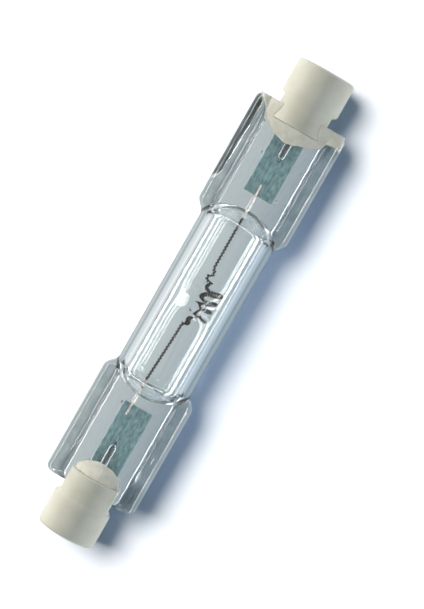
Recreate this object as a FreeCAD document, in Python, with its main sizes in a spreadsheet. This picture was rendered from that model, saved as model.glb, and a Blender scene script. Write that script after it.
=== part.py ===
import FreeCAD, Part
import Sketcher
import math
import os

# Linear halogen lamp with a recessed contact at each end.
# X runs along the lamp, Y across the flat pinch seals, Z up.
# The lamp lies on its tube, so Z is 0 at the lowest line of the tube.

doc = FreeCAD.newDocument("linear_halogen_lamp")

# Driving dimensions in millimetres
dimensions = [
    ("overall_length", 78.3),
    ("tube_diameter", 12.0),
    ("tube_wall", 1.0),
    ("dome_reach", 3.1),
    ("dome_knuckle", 1.6),
    ("cavity_dome_reach", 1.8),
    ("cavity_dome_knuckle", 1.1),
    ("pinch_length", 19.2),
    ("pinch_width", 14.8),
    ("pinch_corner", 0.8),
    ("web_thickness", 2.6),
    ("rib_thickness", 4.6),
    ("rib_width", 2.5),
    ("rib_slope", 0.5),
    ("rib_bulge", 1.3),
    ("tip_place", 0.3),
    ("tip_height", 0.9),
    ("tip_radius", 1.5),
    ("tip_flare", 2.0),
    ("tip_root", 0.2),
    ("tip_bore_radius", 0.6),
    ("tip_bore_depth", 1.3),
    ("foil_width", 4.7),
    ("foil_thickness", 0.05),
    ("left_foil_inset", 4.75),
    ("right_foil_inset", 5.6),
    ("left_foil_cover", 2.45),
    ("right_foil_cover", 1.6),
    ("left_foil_shift", -0.3),
    ("right_foil_shift", -0.1),
    ("outer_lead_diameter", 1.0),
    ("outer_lead_flat", 0.12),
    ("left_outer_lead_depth", 7.45),
    ("right_outer_lead_depth", 6.75),
    ("left_outer_lead_shift", 0.1),
    ("right_outer_lead_shift", -0.25),
    ("weld_nib_diameter", 0.4),
    ("weld_nib_length", 1.0),
    ("inner_lead_diameter", 0.4),
    ("inner_lead_flat", 0.06),
    ("inner_lead_overlap", 1.8),
    ("inner_lead_reveal", 0.7),
    ("left_leg_shift", 0.85),
    ("right_leg_shift", 0.25),
    ("leg_gap", 0.02),
    ("strand_diameter", 0.42),
    ("coil_diameter", 3.1),
    ("coil_turns", 4),
    ("coil_pitch", 1.42),
    ("coil_drop", 1.5),
    ("coil_place", 0.5),
    ("cap_diameter", 9.2),
    ("cap_length", 9.6),
    ("tongue_relief", 0.1),
    ("cap_seat", 7.3),
    ("barrel_length", 5.2),
    ("barrel_step", 0.5),
    ("neck_width", 7.8),
    ("cap_edge", 0.3),
    ("mouth_edge", 0.2),
    ("recess_diameter", 4.8),
    ("contact_depth", 1.7),
    ("contact_diameter", 3.6),
    ("contact_clearance", 0.1),
    ("contact_thickness", 0.7),
    ("contact_crown", 0.25),
    ("stem_diameter", 2.0),
    ("stem_length", 3.6),
    ("stem_clearance", 0.1),
    ("cement_gap", 0.2),
    ("left_cement_reach", 2.6),
    ("left_cement_width", 7.9),
    ("left_cement_height", 8.2),
    ("right_cement_reach", 5.0),
    ("right_cement_margin", 0.3),
    ("right_cement_height", 7.4),
    ("right_cement_skin", 0.15),
]

sheet = doc.addObject("Spreadsheet::Sheet", "Sizes")
for row, (name, amount) in enumerate(dimensions, start=1):
    sheet.set(f"A{row}", name)
    sheet.set(f"B{row}", str(amount))
    sheet.setAlias(f"B{row}", name)
doc.recompute()


class Size:
    """A length that knows both its value and the sheet expression behind it."""

    def __init__(self, text, value):
        self.text = text
        self.value = value

    def __add__(self, other):
        other = asSize(other)
        return Size(f"({self.text} + {other.text})", self.value + other.value)

    def __sub__(self, other):
        other = asSize(other)
        return Size(f"({self.text} - {other.text})", self.value - other.value)

    def __mul__(self, other):
        other = asSize(other)
        return Size(f"({self.text} * {other.text})", self.value * other.value)

    def __truediv__(self, other):
        other = asSize(other)
        return Size(f"({self.text} / {other.text})", self.value / other.value)

    def __neg__(self):
        return Size(f"(0 - {self.text})", -self.value)


def asSize(amount):
    if isinstance(amount, Size):
        return amount
    return Size(str(amount), float(amount))


def size(name):
    return Size(f"Sizes.{name}", float(sheet.get(name)))


def root(amount):
    return Size(f"sqrt({amount.text})", math.sqrt(amount.value))


zero = asSize(0)

# Places along the lamp, measured outwards from its middle
lampEnd = size("overall_length") / 2
pinchEnd = lampEnd - size("cap_seat")
tubeEnd = pinchEnd - size("pinch_length")
tongueEnd = lampEnd - size("cap_length")
recessFloor = lampEnd - size("contact_depth")
seatFloor = recessFloor - size("contact_thickness")
stemEnd = seatFloor - size("stem_length")
slotFloor = pinchEnd + size("cement_gap")
tubeRadius = size("tube_diameter") / 2
boreRadius = tubeRadius - size("tube_wall")
capRadius = size("cap_diameter") / 2
axisHeight = tubeRadius
cavityEnd = tubeEnd + size("cavity_dome_reach")
foilTop = size("foil_thickness") / 2

# A side is its name and the turn about Z that points its local +X outwards
sides = [("left", 180.0), ("right", 0.0)]


def newBody(name, turn=0.0):
    body = doc.addObject("PartDesign::Body", name)
    body.Label = name
    body.Placement = FreeCAD.Placement(
        FreeCAD.Vector(0, 0, 0), FreeCAD.Rotation(FreeCAD.Vector(0, 0, 1), turn))
    body.setExpression("Placement.Base.z", axisHeight.text)
    return body


def originPlane(body, role):
    for feature in body.Origin.OriginFeatures:
        if feature.Role == role:
            return feature


def newSketch(body, role, name, lift=zero):
    sketch = body.newObject("Sketcher::SketchObject", name)
    sketch.AttachmentSupport = (originPlane(body, role), [""])
    sketch.MapMode = "FlatFace"
    if lift is not zero:
        sketch.setExpression("AttachmentOffset.Base.z", lift.text)
    return sketch


def bind(sketch, constraint, amount):
    number = sketch.addConstraint(constraint)
    sketch.setExpression(f"Constraints[{number}]", amount.text)


def pinPoint(sketch, geometry, end, place):
    """Holds one end of a sketch line at a place given by the sheet."""
    across, up = place
    if across is zero:
        sketch.addConstraint(Sketcher.Constraint("PointOnObject", geometry, end, -2))
    else:
        rule = Sketcher.Constraint("DistanceX", -1, 1, geometry, end, across.value)
        bind(sketch, rule, across)
    if up is zero:
        sketch.addConstraint(Sketcher.Constraint("PointOnObject", geometry, end, -1))
    else:
        rule = Sketcher.Constraint("DistanceY", -1, 1, geometry, end, up.value)
        bind(sketch, rule, up)


def arcCentre(start, finish, radius, hand):
    """Centre of the arc from start to finish; hand is 1 for anticlockwise, -1 for clockwise."""
    chord = finish - start
    half = chord.Length / 2
    rise = math.sqrt(max(radius * radius - half * half, 0.0))
    normal = FreeCAD.Vector(-chord.y, chord.x, 0).normalize()
    return start + chord * 0.5 + normal * (rise * hand)


def drawOutline(sketch, steps):
    """Closes an outline. A step is a corner, and for an arc to the next corner its radius and hand."""
    corners = [FreeCAD.Vector(step[0][0].value, step[0][1].value, 0) for step in steps]
    ends = []
    for index, step in enumerate(steps):
        start = corners[index]
        finish = corners[(index + 1) % len(corners)]
        if len(step) == 1:
            geometry = sketch.addGeometry(Part.LineSegment(start, finish), False)
            ends.append((geometry, 1, 2))
            continue
        radius, hand = step[1], step[2]
        centre = arcCentre(start, finish, radius.value, hand)
        circle = Part.Circle(centre, FreeCAD.Vector(0, 0, 1), radius.value)
        first, last = (start, finish) if hand > 0 else (finish, start)
        fromAngle = math.atan2(first.y - centre.y, first.x - centre.x)
        toAngle = math.atan2(last.y - centre.y, last.x - centre.x)
        geometry = sketch.addGeometry(Part.ArcOfCircle(circle, fromAngle, toAngle), False)
        bind(sketch, Sketcher.Constraint("Radius", geometry, radius.value), radius)
        ends.append((geometry, 1, 2) if hand > 0 else (geometry, 2, 1))
    for index, (geometry, startEnd, finishEnd) in enumerate(ends):
        following, followingStart, _ = ends[(index + 1) % len(ends)]
        rule = Sketcher.Constraint("Coincident", geometry, finishEnd, following, followingStart)
        sketch.addConstraint(rule)
    for step, (geometry, startEnd, finishEnd) in zip(steps, ends):
        pinPoint(sketch, geometry, startEnd, step[0])


def revolve(body, sketch, name, axis="H_Axis"):
    feature = body.newObject("PartDesign::Revolution", name)
    feature.Profile = sketch
    feature.ReferenceAxis = (sketch, [axis])
    feature.Angle = 360.0
    return feature


def pad(body, sketch, name, length, symmetric=False):
    feature = body.newObject("PartDesign::Pad", name)
    feature.Profile = sketch
    feature.SideType = "Symmetric" if symmetric else "One side"
    feature.setExpression("Length", length.text)
    return feature


def checkCut(body, feature):
    """Stops the build when a cutting feature takes nothing away."""
    doc.recompute()
    before = feature.BaseFeature.Shape.Volume
    if not feature.Shape.Volume < before - 1e-6:
        raise RuntimeError(f"{body.Label}: {feature.Label} cuts nothing")


def groove(body, sketch, name, axis="H_Axis"):
    feature = body.newObject("PartDesign::Groove", name)
    feature.Profile = sketch
    feature.ReferenceAxis = (sketch, [axis])
    feature.Angle = 360.0
    checkCut(body, feature)
    return feature


def pocketThrough(body, sketch, name):
    feature = body.newObject("PartDesign::Pocket", name)
    feature.Profile = sketch
    feature.SideType = "Symmetric"
    feature.Type = "ThroughAll"
    checkCut(body, feature)
    return feature


def rectangle(low, high, bottom, top):
    return [((low, bottom),), ((high, bottom),), ((high, top),), ((low, top),)]


def arcPoints(across, up, radius, first, last, chords):
    """Points on an arc round a centre, after its first point and up to its last, for short cones."""
    points = []
    for step in range(1, chords + 1):
        share = asSize(step / chords)
        sideways = first[0] + (last[0] - first[0]) * share
        upwards = first[1] + (last[1] - first[1]) * share
        length = root(sideways * sideways + upwards * upwards)
        high = zero if step == chords and last[1] is zero else up + upwards * radius / length
        points.append((across + sideways * radius / length, high))
    return points


def domedProfile(halfLength, radius, reach, knuckle, chords=0):
    """Half section of a tube whose ends close with a small knuckle and a large crown."""
    crown = (reach * reach + (radius - knuckle) * (radius - knuckle) - knuckle * knuckle) \
        / ((reach - knuckle) * 2)
    kneeOut = halfLength + knuckle * (crown - reach) / (crown - knuckle)
    kneeUp = (radius - knuckle) * crown / (crown - knuckle)
    tip = halfLength + reach
    if chords:
        right = [(halfLength, radius)]
        right += arcPoints(halfLength, radius - knuckle, knuckle, (zero, knuckle),
                           (kneeOut - halfLength, kneeUp - radius + knuckle), chords)
        right += arcPoints(tip - crown, zero, crown, (kneeOut - tip + crown, kneeUp), (crown, zero), chords)
        left = [(-across, up) for across, up in reversed(right)]
        return [(corner,) for corner in reversed(left + right)]
    return [
        ((-tip, zero),),
        ((tip, zero), crown, 1),
        ((kneeOut, kneeUp), knuckle, 1),
        ((halfLength, radius),),
        ((-halfLength, radius), knuckle, 1),
        ((-kneeOut, kneeUp), crown, 1),
    ]


def pinchSection():
    """Section of the pinch seal: a flat web between two thick edge ribs with rounded sides."""
    edge = size("pinch_width") / 2
    foot = edge - size("rib_width")
    brow = foot + size("rib_slope")
    crown = edge - size("rib_bulge")
    web = size("web_thickness") / 2
    top = size("rib_thickness") / 2
    side = (top * top + size("rib_bulge") * size("rib_bulge")) / (size("rib_bulge") * 2)
    return [
        ((-foot, -web),),
        ((foot, -web),),
        ((brow, -top),),
        ((crown, -top), side, 1),
        ((crown, top),),
        ((brow, top),),
        ((foot, web),),
        ((-foot, web),),
        ((-brow, top),),
        ((-crown, top), side, 1),
        ((-crown, -top),),
        ((-brow, -top),),
    ]


def cornerTrim(place, outwards, across):
    """The scrap outside one rounded corner of the pinch, seen from above."""
    corner = size("pinch_corner")
    edge = size("pinch_width") / 2
    inX = place - corner if outwards > 0 else place + corner
    hand = 1 if outwards * across > 0 else -1
    inY = edge - corner
    if across < 0:
        edge, inY = -edge, -inY
    return [((inX, edge), corner, -hand), ((place, inY),), ((place, edge),)]


def makeEnvelopeBlank():
    """Tube, domed ends, pinch seals and exhaust tip, before the sealed metal is let in."""
    body = newBody("envelope_blank")
    profile = newSketch(body, "XY_Plane", "bulb_profile")
    drawOutline(profile, domedProfile(
        tubeEnd, tubeRadius, size("dome_reach"), size("dome_knuckle"), chords=4))
    revolve(body, profile, "bulb_glass")

    section = newSketch(body, "YZ_Plane", "pinch_section", lift=tubeEnd)
    drawOutline(section, pinchSection())
    pinch = pad(body, section, "pinch_seal", size("pinch_length"))
    other = body.newObject("PartDesign::Mirrored", "other_pinch_seal")
    other.Originals = [pinch]
    other.MirrorPlane = (originPlane(body, "YZ_Plane"), [""])
    body.Tip = other
    doc.recompute()

    for number, (place, outwards) in enumerate([(pinchEnd, 1), (tubeEnd, -1)], start=1):
        for across in (1, -1):
            for mirror in (1, -1):
                spot = place if mirror > 0 else -place
                name = f"corner_{number}_{'back' if across > 0 else 'front'}_{'out' if mirror > 0 else 'in'}"
                trim = newSketch(body, "XY_Plane", name)
                drawOutline(trim, cornerTrim(spot, outwards * mirror, across))
                pocketThrough(body, trim, "round_" + name)

    tip = newSketch(body, "XZ_Plane", "tip_profile")
    place = size("tip_place")
    crest = tubeRadius + size("tip_height")
    base = boreRadius + size("tip_root")
    ball = size("tip_radius")
    flare = size("tip_flare")
    reach = ball + flare
    climb = base + flare - crest + ball
    spread = root(reach * reach - climb * climb)
    drawOutline(tip, [
        ((place, base),),
        ((place + spread, base), flare, -1),
        ((place + spread * ball / reach, crest - ball + climb * ball / reach), ball, 1),
        ((place, crest),),
    ])
    axis = tip.addGeometry(Part.LineSegment(
        FreeCAD.Vector(place.value, 0, 0), FreeCAD.Vector(place.value, 1, 0)), True)
    pinPoint(tip, axis, 1, (place, zero))
    pinPoint(tip, axis, 2, (place, tubeRadius))
    revolve(body, tip, "exhaust_tip", "Axis0")

    hollow = newSketch(body, "XY_Plane", "cavity_profile")
    drawOutline(hollow, domedProfile(
        tubeEnd, boreRadius, size("cavity_dome_reach"), size("cavity_dome_knuckle"), chords=3))
    groove(body, hollow, "cavity")

    bore = newSketch(body, "XZ_Plane", "tip_bore_profile")
    floor = boreRadius - size("tip_bore_radius")
    drawOutline(bore, [
        ((place, floor),),
        ((place + size("tip_bore_radius"), floor),),
        ((place, boreRadius + size("tip_bore_depth")),),
    ])
    axis = bore.addGeometry(Part.LineSegment(
        FreeCAD.Vector(place.value, 0, 0), FreeCAD.Vector(place.value, 1, 0)), True)
    pinPoint(bore, axis, 1, (place, zero))
    pinPoint(bore, axis, 2, (place, floor))
    groove(body, bore, "tip_bore", "Axis0")
    return body


def foilSpan(side):
    """Where a foil starts and ends, each a little way inside the web."""
    return tubeEnd + size(f"{side}_foil_inset"), pinchEnd - size(f"{side}_foil_cover")


def makeFoil(side, turn):
    """Thin foil sealed in the web, lying in the middle plane."""
    body = newBody(f"{side}_foil", turn)
    start, finish = foilSpan(side)
    middle = localShift(side, "foil")
    half = size("foil_width") / 2
    outline = newSketch(body, "XY_Plane", f"{side}_foil_outline")
    drawOutline(outline, rectangle(start, finish, middle - half, middle + half))
    pad(body, outline, f"{side}_foil_sheet", size("foil_thickness"), symmetric=True)
    return body


def localShift(side, piece):
    """The sideways place of a piece, turned into the frame of its own side."""
    shift = size(f"{side}_{piece}_shift")
    return -shift if side == "left" else shift


def flattenedLead(body, name, steps, shift, height, flatStart, flatFinish):
    """A round wire along X with its underside pressed flat where it is welded to the foil."""
    profile = newSketch(body, "XZ_Plane", name + "_profile", lift=-shift)
    drawOutline(profile, steps)
    axis = profile.addGeometry(Part.LineSegment(
        FreeCAD.Vector(0, height.value, 0), FreeCAD.Vector(1, height.value, 0)), True)
    pinPoint(profile, axis, 1, (zero, height))
    pinPoint(profile, axis, 2, (flatStart, height))
    revolve(body, profile, name + "_wire", "Axis0")
    flat = newSketch(body, "XZ_Plane", name + "_flat_profile")
    drawOutline(flat, rectangle(flatStart, flatFinish, foilTop - height * 4, foilTop))
    pocketThrough(body, flat, name + "_weld_flat")


def makeOuterLead(side, turn):
    """Thick wire from the foil out to the contact, with a nib of weld at its inner end."""
    body = newBody(f"{side}_outer_lead", turn)
    radius = size("outer_lead_diameter") / 2
    height = foilTop + radius - size("outer_lead_flat")
    start = pinchEnd - size(f"{side}_outer_lead_depth")
    nib = start - size("weld_nib_length")
    nibRadius = size("weld_nib_diameter") / 2
    steps = [
        ((nib, height),),
        ((stemEnd, height),),
        ((stemEnd, height + radius),),
        ((start, height + radius),),
        ((start, height + nibRadius),),
        ((nib, height + nibRadius),),
    ]
    foilEnd = foilSpan(side)[1]
    flattenedLead(body, f"{side}_outer_lead", steps, localShift(side, "outer_lead"),
                  height, nib - nibRadius, foilEnd)
    return body


def innerLeadHeight():
    return foilTop + size("inner_lead_diameter") / 2 - size("inner_lead_flat")


def makeInnerLead(side, turn):
    """Thin wire from the foil through the glass to the leg of the filament."""
    body = newBody(f"{side}_inner_lead", turn)
    radius = size("inner_lead_diameter") / 2
    height = innerLeadHeight()
    foilStart = foilSpan(side)[0]
    start = cavityEnd - size("inner_lead_reveal")
    finish = foilStart + size("inner_lead_overlap")
    steps = rectangle(start, finish, height, height + radius)
    flattenedLead(body, f"{side}_inner_lead", steps, localShift(side, "leg"),
                  height, foilStart, finish + radius)
    return body


def makeContact(side, turn):
    """Domed contact button with a stem, riveted through the floor of the recess."""
    body = newBody(f"{side}_contact_button", turn)
    profile = newSketch(body, "XY_Plane", f"{side}_contact_profile")
    rim = size("contact_diameter") / 2
    stem = size("stem_diameter") / 2
    crown = size("contact_crown")
    shoulder = recessFloor - crown
    drawOutline(profile, [
        ((stemEnd, zero),),
        ((recessFloor, zero),),
        ((recessFloor, rim - crown * 2),),
        ((shoulder, rim),),
        ((seatFloor, rim),),
        ((seatFloor, stem),),
        ((stemEnd, stem),),
    ])
    revolve(body, profile, f"{side}_contact_turned")
    return body


def makeCap(side, turn):
    """Steatite cap: a round barrel with a stepped recess, narrowed to two tongues astride the web."""
    body = newBody(f"{side}_ceramic_cap", turn)
    profile = newSketch(body, "XY_Plane", f"{side}_cap_profile")
    recess = size("recess_diameter") / 2
    seat = size("contact_diameter") / 2 + size("contact_clearance")
    bore = size("stem_diameter") / 2 + size("stem_clearance")
    edge = size("cap_edge")
    mouthEdge = size("mouth_edge")
    neckStart = lampEnd - size("barrel_length")
    neckFull = neckStart - size("barrel_step")
    tongueRadius = capRadius - size("tongue_relief")
    drawOutline(profile, [
        ((tongueEnd, bore),),
        ((seatFloor, bore),),
        ((seatFloor, seat),),
        ((recessFloor, seat),),
        ((recessFloor, recess),),
        ((lampEnd - mouthEdge, recess),),
        ((lampEnd, recess + mouthEdge),),
        ((lampEnd, capRadius - edge),),
        ((lampEnd - edge, capRadius),),
        ((neckStart, capRadius),),
        ((neckFull, tongueRadius),),
        ((tongueEnd, tongueRadius),),
    ])
    revolve(body, profile, f"{side}_cap_turned")

    neck = size("neck_width") / 2
    beyond = capRadius + size("cap_edge")
    past = tongueEnd - size("cap_edge")
    for across, name in ((1, "back"), (-1, "front")):
        flat = newSketch(body, "XY_Plane", f"{side}_neck_{name}")
        low, high = (neck, beyond) if across > 0 else (-neck, -beyond)
        drawOutline(flat, [((past, low),), ((neckFull, low),), ((neckStart, high),), ((past, high),)])
        pocketThrough(body, flat, f"{side}_neck_{name}_flat")

    slot = newSketch(body, "XZ_Plane", f"{side}_slot_profile")
    half = size("web_thickness") / 2 + size("cement_gap")
    drawOutline(slot, rectangle(past, slotFloor, -half, half))
    pocketThrough(body, slot, f"{side}_web_slot")
    return body


def makeCement(side, turn, tools):
    """Cement round the end of the web and in a rounded fillet where the tongues end."""
    name = f"{side}_cement"
    core = newBody(name + "_core", turn)
    outline = newSketch(core, "XY_Plane", name + "_core_outline")
    neck = size("neck_width") / 2
    drawOutline(outline, rectangle(tongueEnd, slotFloor, -neck, neck))
    thickness = size("web_thickness") + size("cement_gap") * 2
    pad(core, outline, name + "_core_fill", thickness, symmetric=True)

    face = pinchEnd + size("right_cement_skin") if side == "right" else tongueEnd
    dome = doc.addObject("Part::Ellipsoid", name + "_dome")
    dome.setExpression("Radius1", size(f"{side}_cement_reach").text)
    dome.setExpression("Radius2", (size(f"{side}_cement_height") / 2).text)
    if side == "right":
        halfWidth = size("pinch_width") / 2 - size("right_cement_margin")
    else:
        halfWidth = size("left_cement_width") / 2
    dome.setExpression("Radius3", halfWidth.text)
    dome.Angle1 = 0.0
    dome.Angle2 = 90.0
    inwards = -90.0 if turn == 0.0 else 90.0
    dome.Placement = FreeCAD.Placement(
        FreeCAD.Vector(0, 0, 0), FreeCAD.Rotation(FreeCAD.Vector(0, 1, 0), inwards))
    dome.setExpression("Placement.Base.x", (face if turn == 0.0 else -face).text)
    dome.setExpression("Placement.Base.z", axisHeight.text)

    whole = doc.addObject("Part::MultiFuse", name + "_whole")
    whole.Shapes = [core, dome]
    cutter = doc.addObject("Part::MultiFuse", name + "_neighbours")
    cutter.Shapes = tools
    cement = doc.addObject("Part::Cut", name)
    cement.Base = whole
    cement.Tool = cutter
    cement.Label = name
    return cement


def bentPath(start, startWay, finish, finishWay, bulge, steps):
    """Points on a smooth bend that leaves start and reaches finish in the given directions."""
    points = []
    for step in range(steps + 1):
        share = step / steps
        keep = 1 - share
        near = start * (keep ** 3) + (start + startWay * bulge) * (3 * keep * keep * share)
        far = (finish - finishWay * bulge) * (3 * keep * share * share) + finish * (share ** 3)
        points.append(near + far)
    return points


def ringedSolid(rings):
    """A closed solid of triangles through rings of corners, all rings having as many corners."""
    edges = {}

    def edgeBetween(one, other):
        key = (min(one, other), max(one, other))
        if key not in edges:
            edges[key] = Part.makeLine(rings[key[0][0]][key[0][1]], rings[key[1][0]][key[1][1]])
        return edges[key]

    def faceOf(*names):
        loop = [edgeBetween(names[k - 1], names[k]) for k in range(len(names))]
        return Part.Face(Part.Wire(Part.__sortEdges__(loop)))

    around = len(rings[0])
    faces = []
    for ring in (0, len(rings) - 1):
        faces += [faceOf((ring, 0), (ring, k), (ring, k + 1)) for k in range(1, around - 1)]
    for ring in range(len(rings) - 1):
        for k in range(around):
            following = (k + 1) % around
            faces.append(faceOf((ring, k), (ring, following), (ring + 1, following)))
            faces.append(faceOf((ring, k), (ring + 1, following), (ring + 1, k)))
    solid = Part.Solid(Part.Shell(faces))
    if solid.Volume < 0:
        solid.reverse()
    return solid


def makeFilament():
    """One strand: a leg, a rise on to the coil, the turns, a tail with a kink, and the other leg."""
    strand = size("strand_diameter").value
    meanRadius = (size("coil_diameter").value - strand) / 2
    pitch = size("coil_pitch").value
    turns = size("coil_turns").value
    drop = size("coil_drop").value
    coilStart = size("coil_place").value - pitch * turns / 2
    coilFinish = coilStart + pitch * turns
    level = (innerLeadHeight() + axisHeight).value
    leadEnd = (cavityEnd - size("inner_lead_reveal") - size("leg_gap")).value
    lift = axisHeight.value
    slope = pitch / (2 * math.pi)
    leftLeg = size("left_leg_shift").value
    rightLeg = size("right_leg_shift").value

    def onCoil(angle):
        across = meanRadius * math.cos(angle) - drop
        up = lift - meanRadius * math.sin(angle)
        return FreeCAD.Vector(coilStart + slope * angle, across, up)

    def alongCoil(angle):
        way = FreeCAD.Vector(slope, -meanRadius * math.sin(angle), -meanRadius * math.cos(angle))
        return way.normalize()

    # The strand comes on to the coil a little before its top and leaves a little after it
    early = 0.6
    stepsPerTurn = 16
    firstAngle = -early
    lastAngle = 2 * math.pi * turns + early
    count = int(round((lastAngle - firstAngle) / (2 * math.pi) * stepsPerTurn))
    coil = [onCoil(firstAngle + (lastAngle - firstAngle) * step / count) for step in range(count + 1)]

    alongX = FreeCAD.Vector(1, 0, 0)
    bend = strand * 2
    leftFoot = FreeCAD.Vector(-leadEnd, leftLeg, level)
    leftKnee = FreeCAD.Vector(coilStart - strand * 3, leftLeg * 0.3, level)
    rightFoot = FreeCAD.Vector(leadEnd, rightLeg, level)
    crest = FreeCAD.Vector(coilFinish + strand * 2.4, rightLeg + strand * 0.5, level - strand * 0.6)
    dip = FreeCAD.Vector(coilFinish + strand * 4.5, rightLeg - strand * 0.9, level)
    rightKnee = FreeCAD.Vector(coilFinish + strand * 7, rightLeg, level)
    rise = bentPath(leftKnee, alongX, coil[0], alongCoil(firstAngle), bend, 6)
    leave = bentPath(coil[-1], alongCoil(lastAngle), crest, alongX, bend, 6)
    kink = bentPath(crest, alongX, dip, alongX, bend, 5) + bentPath(dip, alongX, rightKnee, alongX, bend, 5)[1:]
    route = [leftFoot] + rise + coil[1:] + leave[1:] + kink[1:] + [rightFoot]

    # A many sided ring stands across the strand at each point of the route
    strandSides = 10
    wayBefore = alongX
    across = FreeCAD.Vector(0, strand / 2, 0)
    rings = []
    for number, place in enumerate(route):
        if 0 < number < len(route) - 1:
            way = (route[number + 1] - route[number - 1]).normalize()
        else:
            way = alongX
        across = FreeCAD.Rotation(wayBefore, way).multVec(across)
        wayBefore = way
        corners = []
        for side in range(strandSides):
            turn = FreeCAD.Rotation(way, 360.0 * side / strandSides)
            corners.append(place + turn.multVec(across))
        rings.append(corners)
    filament = doc.addObject("Part::Feature", "coiled_filament")
    filament.Shape = ringedSolid(rings)
    filament.Label = "coiled_filament"
    return filament


finished = []
embedded = []
blank = makeEnvelopeBlank()
for side, turn in sides:
    foil = makeFoil(side, turn)
    outerLead = makeOuterLead(side, turn)
    innerLead = makeInnerLead(side, turn)
    contact = makeContact(side, turn)
    cap = makeCap(side, turn)
    cement = makeCement(side, turn, [blank, cap, outerLead, contact])
    embedded += [foil, outerLead, innerLead]
    finished += [foil, outerLead, innerLead, contact, cap, cement]

sealedMetal = doc.addObject("Part::MultiFuse", "sealed_metal")
sealedMetal.Shapes = embedded
envelope = doc.addObject("Part::Cut", "quartz_envelope")
envelope.Base = blank
envelope.Tool = sealedMetal
envelope.Label = "quartz_envelope"
finished += [envelope, makeFilament()]

doc.recompute()
for item in doc.Objects:
    if "Invalid" in item.State or "Error" in item.State:
        raise RuntimeError(f"{item.Label} did not build: {item.State}")
for item in finished:
    if item.Shape.isNull() or not item.Shape.isValid():
        raise RuntimeError(f"{item.Label} is not a valid shape")

os.makedirs("parts", exist_ok=True)
for item in finished:
    item.Shape.exportStep(f"parts/{item.Label}.step")
    print(f"{item.Label}: {len(item.Shape.Solids)} solid, {item.Shape.Volume:.3f} mm3")
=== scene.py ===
import math
import bmesh
import bpy
from mathutils import Matrix, Vector, noise


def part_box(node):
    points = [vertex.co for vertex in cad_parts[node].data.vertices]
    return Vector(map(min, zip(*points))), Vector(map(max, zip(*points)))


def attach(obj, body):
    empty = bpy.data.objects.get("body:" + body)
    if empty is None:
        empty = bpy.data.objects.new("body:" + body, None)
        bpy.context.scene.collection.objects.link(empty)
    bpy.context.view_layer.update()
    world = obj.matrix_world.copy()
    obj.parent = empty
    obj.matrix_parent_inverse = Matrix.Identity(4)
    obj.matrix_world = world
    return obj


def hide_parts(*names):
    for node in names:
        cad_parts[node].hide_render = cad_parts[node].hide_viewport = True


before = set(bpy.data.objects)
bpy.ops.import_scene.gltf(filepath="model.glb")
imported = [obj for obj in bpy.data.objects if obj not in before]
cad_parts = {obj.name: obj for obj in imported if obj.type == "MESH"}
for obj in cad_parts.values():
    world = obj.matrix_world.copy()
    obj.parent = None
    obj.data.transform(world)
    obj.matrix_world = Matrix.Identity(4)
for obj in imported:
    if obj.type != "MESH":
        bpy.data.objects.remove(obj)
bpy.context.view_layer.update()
scene = bpy.context.scene
mm = 0.001
axisHeight = 6.0  # the lamp lies on its tube, so its axis is one tube radius up
sides = (("left", -1), ("right", 1))
print("frame loaded, nodes:", len(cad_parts))


def linearColour(hexText):
    channels = [int(hexText[k:k + 2], 16) / 255 for k in (0, 2, 4)]
    return [c / 12.92 if c <= 0.04045 else ((c + 0.055) / 1.055) ** 2.4 for c in channels] + [1.0]


def addNode(tree, kind, settings=None, links=None):
    node = tree.nodes.new(kind)
    for key, value in (settings or {}).items():
        if key == "stops":  # of a colour ramp, as (position, colour) from the first to the last
            elements = node.color_ramp.elements
            for number, (position, tone) in enumerate(value):
                stop = elements[number] if number < 2 else elements.new(1.0)
                stop.position, stop.color = position, linearColour(tone)
        elif isinstance(key, int) or key in node.inputs:
            node.inputs[key].default_value = value
        else:
            setattr(node, key, value)
    for key, source in (links or {}).items():  # a link from a node starts at its first output
        tree.links.new(source.outputs[0] if isinstance(source, bpy.types.Node) else source, node.inputs[key])
    return node


def newMaterial(name):
    material = bpy.data.materials.new(name)
    material.use_nodes = True
    material.node_tree.nodes.clear()
    return material, material.node_tree


def newPiece(name, mesh, material):
    mesh.materials.clear()
    mesh.materials.append(material)
    mesh.shade_smooth()
    piece = bpy.data.objects.new(name, mesh)
    scene.collection.objects.link(piece)
    return piece


def standFor(piece, node):
    # The lamp has no joints, so every piece rides on the root
    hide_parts(node)
    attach(piece, "root")


def boxOf(node):
    # The lowest and highest corner of a CAD node, in mm
    return [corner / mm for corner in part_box(node)]


def endsOf(low, high):
    # The two ends of a piece, as distances from the lamp's middle
    return min(abs(low.x), abs(high.x)), max(abs(low.x), abs(high.x))


def meshFrom(name, points, faces):
    mesh = bpy.data.meshes.new(name)
    mesh.from_pydata([tuple(c * mm for c in p) for p in points], [], faces)
    mesh.update()
    return mesh


def ringFaces(rings, flip=False):
    # Joins each ring of points to the next. A ring of one point closes the end
    faces = []
    for one, two in zip(rings, rings[1:]):
        for k in range(max(len(one), len(two))):
            corners = [one[k % len(one)], one[(k + 1) % len(one)], two[(k + 1) % len(two)], two[k % len(two)]]
            corners = list(dict.fromkeys(corners))
            faces.append(corners if flip else corners[::-1])
    return faces


def latheRings(profile, middle, segments, flip=False, bend=None):
    # Turns (x, radius) points about a line along X; a radius of 0 closes the end
    points, rings = [], []
    for x, radius in profile:
        ring = []
        for k in range(segments if radius > 0 else 1):
            turn = 2 * math.pi * k / segments
            p = [x, middle[0] + radius * math.sin(turn), middle[1] + radius * math.cos(turn)]
            ring.append(len(points))
            points.append(bend(p) if bend else p)
        rings.append(ring)
    return points, ringFaces(rings, flip)


def latheSide(profile, sign, middle, segments, hollow=False, bend=None):
    # A turned form on one side of the lamp. The skin of a hollow one faces inwards
    mirrored = [(sign * x, radius) for x, radius in profile]
    return latheRings(mirrored, middle, segments, (sign > 0) == hollow, bend)


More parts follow.
